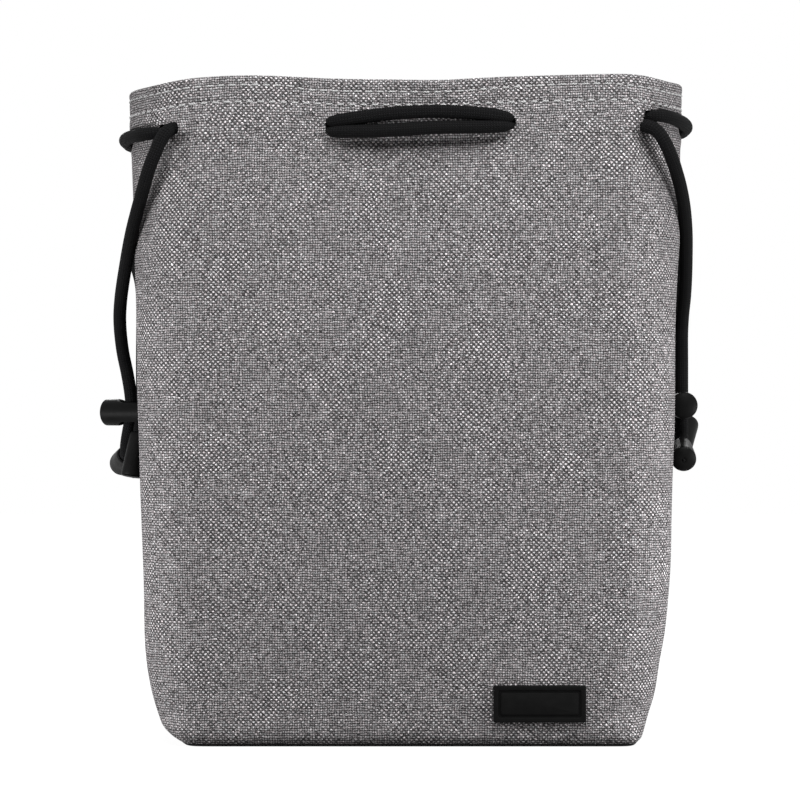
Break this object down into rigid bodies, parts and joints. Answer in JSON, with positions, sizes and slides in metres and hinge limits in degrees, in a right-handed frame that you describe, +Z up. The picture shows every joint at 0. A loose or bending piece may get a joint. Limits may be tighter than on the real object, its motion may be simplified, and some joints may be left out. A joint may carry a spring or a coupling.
{
  "type": "drawstring camera pouch",
  "caption": "Padded cloth pouch that stands on a flat base, with a drawcord woven round its open mouth, sliding barrel locks at the sides and bell-shaped cord ends.",
  "frame": {"origin": "on the floor under the middle of the bag", "axes": "+X to the right seen from the front, -Y out of the front that carries the rubber patch, +Z up out of the mouth"},
  "size_m": [0.2465, 0.1202, 0.26],
  "materials": {
    "cloth": "grey melange woven",
    "lining": "plain dark woven",
    "foam": "soft foam padding",
    "cord": "black braided",
    "patch": "matte black moulded",
    "plastic": "satin black",
    "steel": "bright spring wire"
  },
  "bodies": {
    "pouch": {"outer_front_panel": "cloth", "outer_back_panel": "cloth", "outer_right_gusset": "cloth", "outer_left_gusset": "cloth", "outer_base_panel": "cloth", "foam_front_pad": "foam", "foam_back_pad": "foam", "foam_left_front_pad": "foam", "foam_left_back_pad": "foam", "foam_right_front_pad": "foam", "foam_right_back_pad": "foam", "foam_base_pad": "foam", "lining_front": "lining", "lining_back": "lining", "lining_base": "lining", "label_patch": "patch", "left_drawcord_run": "cord", "right_drawcord_run": "cord", "left_front_tail": "cord", "left_back_tail": "cord", "right_front_tail": "cord", "right_back_tail": "cord", "left_front_cord_end": "plastic", "left_back_cord_end": "plastic", "right_front_cord_end": "plastic", "right_back_cord_end": "plastic", "left_front_cord_end_lid": "plastic", "left_back_cord_end_lid": "plastic", "right_front_cord_end_lid": "plastic", "right_back_cord_end_lid": "plastic"},
    "left_lock": {"left_lock_housing": "plastic", "left_lock_spring": "steel"},
    "left_button": {"left_lock_button": "plastic"},
    "right_lock": {"right_lock_housing": "plastic", "right_lock_spring": "steel"},
    "right_button": {"right_lock_button": "plastic"}
  },
  "joints": [
    {"name": "left_lock_slide", "type": "slide", "parent": "pouch", "child": "left_lock", "axis": [-0.1191, 0, 0.9929], "range_m": [0, 0.011]},
    {"name": "right_lock_slide", "type": "slide", "parent": "pouch", "child": "right_lock", "axis": [0, 0, 1], "range_m": [0, 0.0225]},
    {"name": "left_button_press", "type": "slide", "parent": "left_lock", "child": "left_button", "axis": [-0.8829, 0.4695, 0], "range_m": [0, 0.002], "stiffness_N_per_m": 400, "springref_m": -0.004, "deforming": ["left_lock_spring"]},
    {"name": "right_button_press", "type": "slide", "parent": "right_lock", "child": "right_button", "axis": [0, -1, 0], "range_m": [0, 0.002], "stiffness_N_per_m": 400, "springref_m": -0.004, "deforming": ["right_lock_spring"]}
  ]
}
